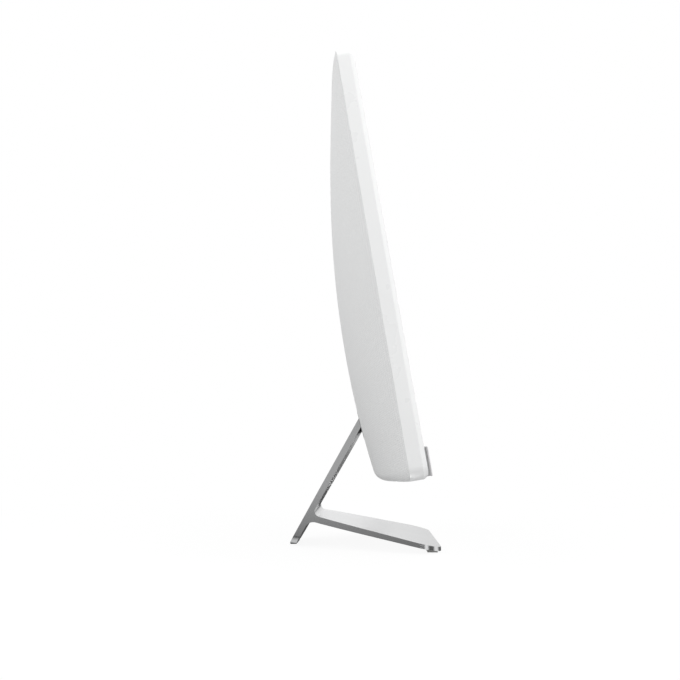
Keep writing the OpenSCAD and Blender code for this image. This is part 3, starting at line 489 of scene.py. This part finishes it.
NODE_MATERIALS = {
    "pad": ["rear_foot_pad"],
    "pale_pad": ["front_foot_pads"],
    "steel": ["hinge_leaf", "hinge_shafts", "hinge_nuts", "hinge_brackets"],
    "bronze": ["friction_washers"],
    "screw": ["leaf_screws", "chassis_screws", "bracket_screws"],
    "screen": ["screen_glass", "lcd_cell"],
    "milky": ["diffuser_sheets"],
    "acrylic": ["light_guide"],
    "led": ["led_strip"],
    "zinc": ["panel_tray", "chassis_plate", "board_screws", "hard_drive", "drive_caddy"],
    "foam": ["panel_spacers"],
    "board": ["timing_board", "webcam_board", "mainboard", "memory_modules", "solid_state_drive",
              "wireless_card", "button_board"],
    "dark": ["speaker_box_left", "speaker_box_right", "port_bay", "fan_housing", "fan_lid", "fan_impeller",
             "memory_sockets", "board_components", "dc_jack", "audio_jack"],
    "black": ["hinge_cavity"],
    "cone": ["speaker_drivers"],
    "brass": ["board_standoffs", "antennas"],
    "chip": ["processor"],
    "copper": ["heat_block", "heat_pipes"],
    "fins": ["fin_stack"],
    "socket": ["usb_ports", "hdmi_port", "lan_port", "coin_cell"],
    "film": ["display_cable"],
    "wire": ["speaker_cables"],
    "rim": ["power_button"],
}


def paint(obj, key):
    obj.data.materials.clear()
    obj.data.materials.append(MAT[key])
    return obj


for key, names in NODE_MATERIALS.items():
    for name in names:
        node_obj = frame["nodes"][name]
        for slot_ref in node_obj.material_slots:
            slot_ref.material = MAT[key]


def finish_piece(obj, key, slot, body, *nodes):
    paint(obj, key)
    if nodes:
        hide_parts(*nodes)
    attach(obj, body)
    return obj


# ---------------------------------------------------------------- white frame

def frame_profile():
    """(inset from the outline, depth) round the frame's section: lip, bevel, side, back and inside."""
    points = [(FRAME_WALL, 2.4), (FRAME_WALL, 0.35), (FRAME_WALL - 0.08, 0.1), (FRAME_WALL - 0.3, 0.0)]
    # the bevel, with both of its edges slightly rounded
    a, b = Vector((2.4, 0.0)), Vector((0.0, 3.4))
    along = (b - a).normalized()
    steps = 4
    for i in range(steps + 1):
        t = i / steps
        start, end = a + Vector((0.45, 0)), a + along * 0.45
        points.append(tuple((1 - t) ** 2 * start + 2 * (1 - t) * t * a + t * t * end))
    for i in range(steps + 1):
        t = i / steps
        start, end = b - along * 0.6, b + Vector((0, 0.6))
        points.append(tuple((1 - t) ** 2 * start + 2 * (1 - t) * t * b + t * t * end))
    points += [(0.0, 8.0), (0.0, FRAME_D - 0.25), (0.07, FRAME_D - 0.07), (0.25, FRAME_D)]
    points += [(FRAME_WALL - 0.3, FRAME_D), (FRAME_WALL, FRAME_D - 0.3), (FRAME_WALL, 9.0)]
    return points


def make_frame():
    rings = []
    for inset, depth in frame_profile():
        outline = rounded_outline(HALF_W - inset, inset, HEAD_H - inset, CORNER_R - inset)
        rings.append([head(x, depth, v) for x, v in outline])
    ring = loft("ring", rings, loop=True, sharp_deg=40)
    # the chin: a strip under the glass and the web behind the sound bar
    low = BAR_HIGH + 0.2
    section = [(0.02, low + 0.2), (0.02, CHIN_TOP - 0.2), (0.2, CHIN_TOP), (6.0, CHIN_TOP), (6.0, 3.3),
               (3.4, 3.3), (3.4, low), (0.2, low)]
    half = HALF_W - FRAME_WALL + 0.15
    chin = prism("chin", section, lambda p, x: head(x, p[0], p[1]), -half, half)
    frame_obj = join("display_frame", [ring, chin])
    smooth(frame_obj, 60)
    return finish_piece(flat_faces(frame_obj), "rim", "white_frame_plastic", "display", "middle_frame")


# ---------------------------------------------------------------- textured back

SLOT_HALF_W, SLOT_LOW, SLOT_HIGH = 68.6, 42.0, 67.5
BAY_X, BAY_LOW, BAY_HIGH = (26.4, 175.6), 85.4, 126.6
VENT_LOW, VENT_HIGH, VENT_PITCH, VENT_W, VENT_R, VENT_N = 296.0, 312.0, 6.0, 3.0, 1.45, 26
OPENING_R, TRIM_W = 3.0, 1.3


def cover_scales():
    """Ring sizes from the edge to the middle, closest together round the lower edge's rounding."""
    arc_n = 12
    scales = [1 - ROUND_BOTTOM * (1 - math.cos(math.radians(90 * i / arc_n))) / HALF_H
              for i in range(arc_n + 1)]
    last, inner_n = scales[-1], 44
    return scales + [last * (1 - (i / inner_n)) for i in range(1, inner_n)]


def skin_ring(outline, scale, wall, lift=1.0):
    """The outline, scaled, laid on the dome; wall is how far inside the outer skin it lies."""
    k, kv = (HALF_W - wall) / HALF_W, (HALF_H - wall) / HALF_H
    ring = []
    for x0, v0 in outline:
        x, v = x0 * scale, HALF_H + (v0 - HALF_H) * scale
        depth = max(dome(x, v) * lift - wall, 0.1)
        ring.append(head(x * k, FRAME_D + depth, HALF_H + (v - HALF_H) * kv))
    return ring


def slot_outline(x0, x1, v0, v1, r, steps):
    points = []
    corners = ((x1 - r, v0 + r, 270), (x1 - r, v1 - r, 0), (x0 + r, v1 - r, 90), (x0 + r, v0 + r, 180))
    for cx, cv, start in corners:
        for i in range(steps + 1):
            a = math.radians(start + 90 * i / steps)
            points.append((cx + r * math.cos(a), cv + r * math.sin(a)))
    return points


def slot_cutter(name, x0, x1, v0, v1, r, steps=8):
    return prism(name, slot_outline(x0, x1, v0, v1, r, steps), lambda p, d: head(p[0], d, p[1]), 18.0, 60.0)


def make_cover():
    outline = rounded_outline(HALF_W, 0, HEAD_H, CORNER_R)
    scales = cover_scales()
    rings = [[head(x, FRAME_D + 0.02, v) for x, v in outline]]
    rings += [skin_ring(outline, 1.0, 0, lift) for lift in (0.12, 0.35, 0.6, 0.82)]
    rings += [skin_ring(outline, s, 0) for s in scales]
    inner = [skin_ring(outline, s, COVER_WALL) for s in reversed(scales[::3])]
    inner.append([head(x * (HALF_W - COVER_WALL) / HALF_W, FRAME_D + 0.02,
                       HALF_H + (v - HALF_H) * (HALF_H - COVER_WALL) / HALF_H) for x, v in outline])
    n = len(outline)
    verts = [p for ring in rings + inner for p in ring]
    faces = []
    outer_n = len(rings)
    total = outer_n + len(inner)
    for k in range(total):
        if k == outer_n - 1:
            continue                                # the two skins meet at the edge, not in the middle
        a, b = k * n, ((k + 1) % total) * n
        for i in range(n):
            j = (i + 1) % n
            faces.append((a + i, a + j, b + j, b + i))
    for ring_i, depth in ((outer_n - 1, middle_depth(HALF_H)), (outer_n, middle_depth(HALF_H) - COVER_WALL)):
        verts.append(head(0, depth, HALF_H))
        tip = len(verts) - 1
        for i in range(n):
            faces.append((ring_i * n + i, ring_i * n + (i + 1) % n, tip))
    cover = new_object("rear_cover", verts, faces, 40)
    cutters = [slot_cutter("c0", -SLOT_HALF_W, SLOT_HALF_W, SLOT_LOW, SLOT_HIGH, OPENING_R),
               slot_cutter("c1", BAY_X[0], BAY_X[1], BAY_LOW, BAY_HIGH, OPENING_R)]
    vents = []
    for i in range(VENT_N):
        x = (i - (VENT_N - 1) / 2) * VENT_PITCH
        vents.append(slot_cutter("v%d" % i, x - VENT_W / 2, x + VENT_W / 2, VENT_LOW, VENT_HIGH, VENT_R,
                                 steps=4))
    cutters.append(join("vents", vents))
    cut(cover, cutters)
    smooth(cover, 40)
    return finish_piece(cover, "cover", "cover_plastic", "display", "back_cover")


def trim_ring(name, x0, x1, v0, v1, r, width, proud=0.25, depth=3.0):
    """A thin frame that follows the dome round an opening."""
    corners = slot_outline(x0, x1, v0, v1, r, 8)
    base = []
    for i, p in enumerate(corners):
        q = corners[(i + 1) % len(corners)]
        n = max(1, int(math.dist(p, q) / 4.0))
        base += [(p[0] + (q[0] - p[0]) * t / n, p[1] + (q[1] - p[1]) * t / n) for t in range(n)]

    def grown(k):
        """The opening's outline moved outwards by k, point for point."""
        ring = []
        for x, v in base:
            cx, cv = min(max(x, x0 + r), x1 - r), min(max(v, v0 + r), v1 - r)
            d = Vector((x - cx, v - cv))
            d = d.normalized() if d.length > 1e-6 else Vector((0, 0))
            ring.append((x + d.x * k, v + d.y * k))
        return ring

    section = [(0.0, -depth), (0.0, proud * 0.4), (0.25, proud), (width - 0.3, proud), (width, 0.02),
               (width, -1.0), (0.8, -depth)]
    rings = [[head(x, FRAME_D + dome(x, v) + lift, v) for x, v in grown(k)] for k, lift in section]
    return loft(name, rings, loop=True)


# ---------------------------------------------------------------- sound bar

def make_sound_bar():
    seam = -1.55
    body = block("sound_bar_body", (-BAR_HALF_W + 0.35, BAR_HALF_W - 0.35), (seam - 0.05, 3.2),
                 (BAR_LOW + 0.35, BAR_HIGH - 0.35), 0.25)
    finish_piece(body, "bar_body", "dark_plastic", "display", "sound_bar_housing")
    cloth = block("sound_bar_cloth", (-BAR_HALF_W, BAR_HALF_W), (-BAR_PROUD, seam), (BAR_LOW, BAR_HIGH),
                  0.55, 4)
    finish_piece(cloth, "bar_cloth", "grille_aluminium", "display", "sound_bar_grille")


# ---------------------------------------------------------------- camera window in the glass

GLASS_FRONT, WEBCAM_V = 0.6, 340.4


def make_webcam():
    centre = head(0, GLASS_FRONT, WEBCAM_V)
    forward = (head(0, -1, 0) - head(0, 0, 0)).normalized()
    ring = turned("camera_ring", [(0.0, -0.25), (2.1, -0.25), (2.3, -0.1), (2.3, 0.02), (2.15, 0.06),
                                  (1.5, 0.06), (1.4, 0.0), (1.4, -0.1), (0.0, -0.1)], centre, forward)
    finish_piece(ring, "black", "dark_plastic", "display")
    lens = turned("camera_lens", [(1.4, -0.2), (1.4, -0.06), (1.2, 0.0), (0.8, 0.04), (0.4, 0.06),
                                  (0.0, 0.065)], centre, forward)
    finish_piece(lens, "lens", "lens_glass", "display", "webcam_lens")


# ---------------------------------------------------------------- stand

STAND_D = 156.6
LEG_LEAN, LEG_T, PAD_H = 30.0, 6.4, 1.5
FOOT_GAP, FOOT_FRONT_T = 1.8, 4.0
TOP_SLOPE, BOTTOM_SLOPE = 11.9, 10.7
TAN_LEAN = math.tan(math.radians(LEG_LEAN))
LEG_Y0 = STAND_D / 2 + PAD_H * TAN_LEAN
FOOT_Y = -STAND_D / 2
LEG_TOP_S = 157.0
LEG_DIR = Vector((-math.sin(math.radians(LEG_LEAN)), math.cos(math.radians(LEG_LEAN))))
LEG_FRONT = Vector((-math.cos(math.radians(LEG_LEAN)), -math.sin(math.radians(LEG_LEAN))))
PLAN = [Vector((95.0, FOOT_Y)), Vector((71.0, -25.0)), Vector((66.0, 30.0)), Vector((26.0, LEG_Y0))]
FOOT_CORNER_R, LEG_CORNER_R = 19.0, 9.0
TOP_FILLET_R, BOTTOM_FILLET_R = 5.5, 11.0
TONGUE_HALF_W = 66.5


def leg_front_y(z):
    return LEG_Y0 - z * TAN_LEAN - LEG_T / math.cos(math.radians(LEG_LEAN))


def junction(z0, slope_deg):
    slope = math.tan(math.radians(slope_deg))
    y = (leg_front_y(0) - TAN_LEAN * (z0 - FOOT_Y * slope)) / (1 + TAN_LEAN * slope)
    return Vector((y, z0 + (y - FOOT_Y) * slope))


def round_corner(p, d1, d2, r, steps):
    """Points of the rounding of radius r in corner p, whose edges leave along d1 and d2."""
    d1, d2 = d1.normalized(), d2.normalized()
    half = math.acos(max(-1, min(1, d1.dot(d2)))) / 2
    centre = p + (d1 + d2).normalized() * r / math.sin(half)
    a, b = p + d1 * r / math.tan(half), p + d2 * r / math.tan(half)
    start = math.atan2(a.y - centre.y, a.x - centre.x)
    turn = math.atan2(b.y - centre.y, b.x - centre.x) - start
    turn = (turn + math.pi) % (2 * math.pi) - math.pi
    return [centre + r * Vector((math.cos(start + turn * i / steps), math.sin(start + turn * i / steps)))
            for i in range(steps + 1)]


def stand_profile():
    def leg(s, depth):
        return Vector((LEG_Y0, 0)) + s * LEG_DIR + depth * LEG_FRONT

    top = Vector((-math.cos(math.radians(TOP_SLOPE)), -math.sin(math.radians(TOP_SLOPE))))
    bottom = Vector((-math.cos(math.radians(BOTTOM_SLOPE)), -math.sin(math.radians(BOTTOM_SLOPE))))
    points = [Vector((LEG_Y0 - PAD_H * TAN_LEAN, PAD_H)), leg(LEG_TOP_S, 0), leg(LEG_TOP_S, LEG_T)]
    points += round_corner(junction(FOOT_GAP + FOOT_FRONT_T, TOP_SLOPE), LEG_DIR, top, TOP_FILLET_R, 20)
    points += [Vector((FOOT_Y, FOOT_GAP + FOOT_FRONT_T)), Vector((FOOT_Y, FOOT_GAP))]
    points += round_corner(junction(FOOT_GAP, BOTTOM_SLOPE), bottom, -LEG_DIR, BOTTOM_FILLET_R, 20)
    points.append(Vector((leg_front_y(PAD_H), PAD_H)))
    return points


def plan_point(t):
    """A point of the casting's right-hand edge, seen from above."""
    return ((1 - t) ** 3 * PLAN[0] + 3 * (1 - t) ** 2 * t * PLAN[1] + 3 * (1 - t) * t * t * PLAN[2]
            + t ** 3 * PLAN[3])


def plan_outline():
    """The casting seen from above: a smooth curve down each side, with rounded front corners."""
    steps = 48
    side = [plan_point(i / steps) for i in range(steps + 1)]
    corner = round_corner(side[0], Vector((-1, 0)), side[7] - side[0], FOOT_CORNER_R, 16)
    right = corner + [p for p in side if p.y > corner[-1].y + 0.5]
    return right + [Vector((-p.x, p.y)) for p in reversed(right)]


def leg_edge_cutter(side):
    """What the rounding along the leg's lower side edge takes away, following the wall's curve."""
    r = LEG_CORNER_R
    section = [(1.5, PAD_H + r), (0.0, PAD_H + r)]
    section += [(r * (math.cos(a) - 1), PAD_H + r - r * math.sin(a))
                for a in [math.radians(90 * i / 14) for i in range(1, 15)]]
    section += [(-r, PAD_H - 2), (1.5, PAD_H - 2)]
    rings = []
    for i in range(13):
        t = 0.84 + 0.2 * i / 12
        p, along = plan_point(t), (plan_point(t + 0.01) - plan_point(t - 0.01)).normalized()
        out = Vector((along.y, -along.x))
        rings.append([Vector((side * (p.x + out.x * n), p.y + out.y * n, z)) * MM for n, z in section])
    return loft("edge", rings)


def make_stand():
    blank = prism("stand_casting", stand_profile(), lambda p, x: Vector((x, p.x, p.y)) * MM, -100, 100)
    plan = prism("plan", plan_outline(), lambda p, z: Vector((p.x, p.y, z)) * MM, -5, 150)
    cut(blank, [plan], "INTERSECT")
    cutters = []
    for side in (-1, 1):
        cutters.append(leg_edge_cutter(side))
        x0, x1 = sorted((side * TONGUE_HALF_W, side * 100))
        points = [(x0, -60), (x1, -60), (x1, 40), (x0, 40)]
        cutters.append(prism("tongue", points, lambda p, z: Vector((p[0], p[1], z)) * MM, 60, 150))
    cut(blank, cutters)
    bevel(blank, 0.3, 2, 34)
    bake_modifiers(blank, 50)
    flat_faces(blank)
    return finish_piece(blank, "stand", "stand_aluminium", "stand", "stand_frame")


# ---------------------------------------------------------------- build

make_frame()
make_cover()
make_sound_bar()
make_webcam()
make_stand()
finish_piece(trim_ring("hinge_slot_trim", -SLOT_HALF_W, SLOT_HALF_W, SLOT_LOW, SLOT_HIGH, OPENING_R, TRIM_W),
             "black", "dark_plastic", "display")
finish_piece(trim_ring("port_bay_trim", BAY_X[0], BAY_X[1], BAY_LOW, BAY_HIGH, OPENING_R, TRIM_W),
             "black", "dark_plastic", "display")

# ---------------------------------------------------------------- floor, light and camera

# the white table in a polished surface: seen from above, at a slant, and along it
STEEP_SHINE, LOW_SHINE, HORIZON_SHINE = 0.9, 0.08, 0.74
# the soft light that it throws back, in the same way: from above, and at a slant
STEEP_BOUNCE, LOW_BOUNCE = 1.1, 0.31
# how much of the table's look comes from the light on it, fading out between two distances in metres
SHADOW, SHADOW_IN, SHADOW_OUT = 0.09, 0.2, 0.7
# cards in the table's reflection, round the middle of the foot's corner rounding: start and end in degrees
# from the side to the front, width of the faded edge, strength (below zero darkens)
CARD_X, CARD_Y = 78.0, -61.0
CARDS = [(16, 30, 7, 0.8), (42, 66, 8, -0.1), (78, 100, 10, 0.75)]
# a bright strip added beside the head, and the share of the table's own shine that is left beyond the object
SIDE_STRIP, BEYOND = 7.0, 0.5


def floor_material():
    """A white table that is lit like a product shot: nearly white, with a faint shadow."""
    m = Nodes("studio_floor")
    tone = m.span(m.noise(3.0), 0.3, 0.7, 0.0, 1.0)
    m.set(colour=m.blend(tone, (0.95, 0.95, 0.95), (0.97, 0.97, 0.97)), rough=0.9, spec=0.1)

    def glow(strength=None):
        node = m.add("ShaderNodeEmission")
        if strength:
            m.link(strength, node.inputs["Strength"])
        return node.outputs[0]

    def mix(fac, a, b):
        node = m.add("ShaderNodeMixShader")
        m.link(fac, node.inputs[0])
        m.link(a, node.inputs[1])
        m.link(b, node.inputs[2])
        return node.outputs[0]

    reach = m.add("ShaderNodeVectorMath", operation="LENGTH")
    m.link(m.coords, reach.inputs[0])
    slant = m.add("ShaderNodeLayerWeight").outputs["Facing"]
    rays = m.add("ShaderNodeLightPath")
    seen = mix(m.span(reach.outputs["Value"], SHADOW_IN, SHADOW_OUT, SHADOW, 0.0), glow(), m.bsdf.outputs[0])
    table = m.math("MAXIMUM", m.span(slant, 0.1, 0.72, STEEP_SHINE, LOW_SHINE),
                   m.span(slant, 0.86, 1.0, LOW_SHINE, HORIZON_SHINE))
    split = m.add("ShaderNodeSeparateXYZ")
    m.link(m.coords, split.inputs[0])
    table = m.math("MULTIPLY", table, m.span(split.outputs["X"], 0.0, 0.2, 1.0, BEYOND))
    side = m.math("ABSOLUTE", split.outputs["X"])
    strip = m.math("MINIMUM", m.span(side, 0.256, 0.27), m.span(side, 0.3, 0.325, 1.0, 0.0))
    strip = m.math("MINIMUM", strip, m.span(split.outputs["Y"], -0.058, -0.052))
    strip = m.math("MINIMUM", strip, m.span(split.outputs["Y"], -0.032, -0.022, 1.0, 0.0))
    table = m.math("ADD", table, m.math("MULTIPLY", strip, SIDE_STRIP))
    turn = m.math("ARCTAN2", m.math("SUBTRACT", CARD_Y * MM, split.outputs["Y"]),
                  m.math("SUBTRACT", side, CARD_X * MM))
    for low, high, edge, strength in CARDS:
        low, high, edge = (math.radians(a) for a in (low, high, edge))
        card = m.math("MINIMUM", m.span(turn, low - edge, low), m.span(turn, high, high + edge, 1.0, 0.0))
        table = m.math("ADD", table, m.math("MULTIPLY", card, strength))
    shine = glow(m.math("MAXIMUM", table, 0.0))
    # painted shadow: the light that the table throws back is dimmed near the middle, where the object would
    # shade the table
    shaded = m.span(reach.outputs["Value"], 0.05, 0.35, 0.55, 1.0)
    bounce = glow(m.math("MULTIPLY", shaded, m.span(slant, 0.1, 0.5, STEEP_BOUNCE, LOW_BOUNCE)))
    other = mix(rays.outputs["Is Glossy Ray"], bounce, shine)
    table_look = mix(rays.outputs["Is Camera Ray"], other, seen)
    m.link(table_look, m.tree.nodes["Material Output"].inputs["Surface"])
    return m.mat


floor = new_object("floor", [(-6, -6, 0), (6, -6, 0), (6, 6, 0), (-6, 6, 0)], [(0, 1, 2, 3)])
floor.data.materials.append(floor_material())

scene = bpy.context.scene
scene.view_settings.view_transform = "Standard"

SOFT_LIGHT, SHINE_BASE = 0.87, 0.6
# soft boxes that only reflections see: direction, half angle of the bright part, of its faded edge, strength
SHINE_PANELS = [
    ((1.0, 0.0, 0.12), 25, 60, 0.12),          # beyond the object
    ((1.0, 0.5, 0.12), 20, 40, 0.28),
    ((-1.0, 0.35, 0.1), 30, 60, -0.14),        # a grey card beside it
    ((0.0, 0.0, 1.0), 35, 70, 0.4),            # overhead
]


def studio_world():
    """White behind the object, an even soft light on it, and soft boxes for its reflections."""
    world = bpy.data.worlds.new("studio")
    world.use_nodes = True
    tree = world.node_tree

    def add(kind, **props):
        node = tree.nodes.new(kind)
        for key, value in props.items():
            setattr(node, key, value)
        return node

    def light(strength):
        node = add("ShaderNodeBackground")
        node.inputs["Color"].default_value = (1, 1, 1, 1)
        node.inputs["Strength"].default_value = strength
        return node

    soft, white, shine = light(SOFT_LIGHT), light(1.0), light(1.0)
    coords = add("ShaderNodeTexCoord")
    total = None
    for direction, inner, outer, strength in SHINE_PANELS:
        near = add("ShaderNodeVectorMath", operation="DOT_PRODUCT")
        near.inputs[1].default_value = Vector(direction).normalized()
        tree.links.new(coords.outputs["Generated"], near.inputs[0])
        panel = add("ShaderNodeMapRange", interpolation_type="SMOOTHSTEP")
        edge, full = math.cos(math.radians(outer)), math.cos(math.radians(inner))
        for key, number in (("From Min", edge), ("From Max", full), ("To Min", 0.0), ("To Max", strength)):
            panel.inputs[key].default_value = number
        tree.links.new(near.outputs["Value"], panel.inputs["Value"])
        summed = add("ShaderNodeMath", operation="ADD")
        summed.inputs[1].default_value = SHINE_BASE
        tree.links.new(panel.outputs[0], summed.inputs[0])
        if total:
            tree.links.new(total.outputs[0], summed.inputs[1])
        total = summed
    tree.links.new(total.outputs[0], shine.inputs["Strength"])
    rays = add("ShaderNodeLightPath")
    mixed = add("ShaderNodeMixShader")
    tree.links.new(rays.outputs["Is Glossy Ray"], mixed.inputs[0])
    tree.links.new(soft.outputs[0], mixed.inputs[1])
    tree.links.new(shine.outputs[0], mixed.inputs[2])
    final = add("ShaderNodeMixShader")
    tree.links.new(rays.outputs["Is Camera Ray"], final.inputs[0])
    tree.links.new(mixed.outputs[0], final.inputs[1])
    tree.links.new(white.outputs[0], final.inputs[2])
    tree.links.new(final.outputs[0], tree.nodes["World Output"].inputs["Surface"])
    return world


scene.world = studio_world()


def area_light(name, place, aim, size, power):
    data = bpy.data.lights.new(name, "AREA")
    data.shape = "RECTANGLE"
    data.size = data.size_y = size
    data.energy = power
    lamp = bpy.data.objects.new(name, data)
    lamp.location = place
    lamp.rotation_euler = (Vector(aim) - Vector(place)).to_track_quat("-Z", "Y").to_euler()
    lamp.visible_glossy = False                # the soft boxes in the world stand for it in reflections
    scene.collection.objects.link(lamp)


area_light("top_soft", (-0.3, -0.1, 1.5), (0, 0, 0.25), 1.4, 3)
area_light("front_soft", (-0.9, -1.2, 0.85), (0, 0, 0.3), 1.0, 11)
area_light("back_soft", (-0.9, 1.1, 0.85), (0, 0, 0.3), 1.0, 7)

LENS_MM, SENSOR_MM = 34.95, 36.0
CAMERA = Vector((-0.7523, -0.00852, 0.0976))
PITCH, YAW = math.radians(9.66), math.radians(2.56)
cam_data = bpy.data.cameras.new("camera")
cam_data.lens, cam_data.sensor_width = LENS_MM, SENSOR_MM
cam_data.clip_start = 0.01
camera = bpy.data.objects.new("camera", cam_data)
camera.location = CAMERA
look = Vector((math.cos(PITCH) * math.cos(YAW), math.cos(PITCH) * math.sin(YAW), math.sin(PITCH)))
camera.rotation_euler = look.to_track_quat("-Z", "Y").to_euler()
scene.collection.objects.link(camera)
scene.camera = camera
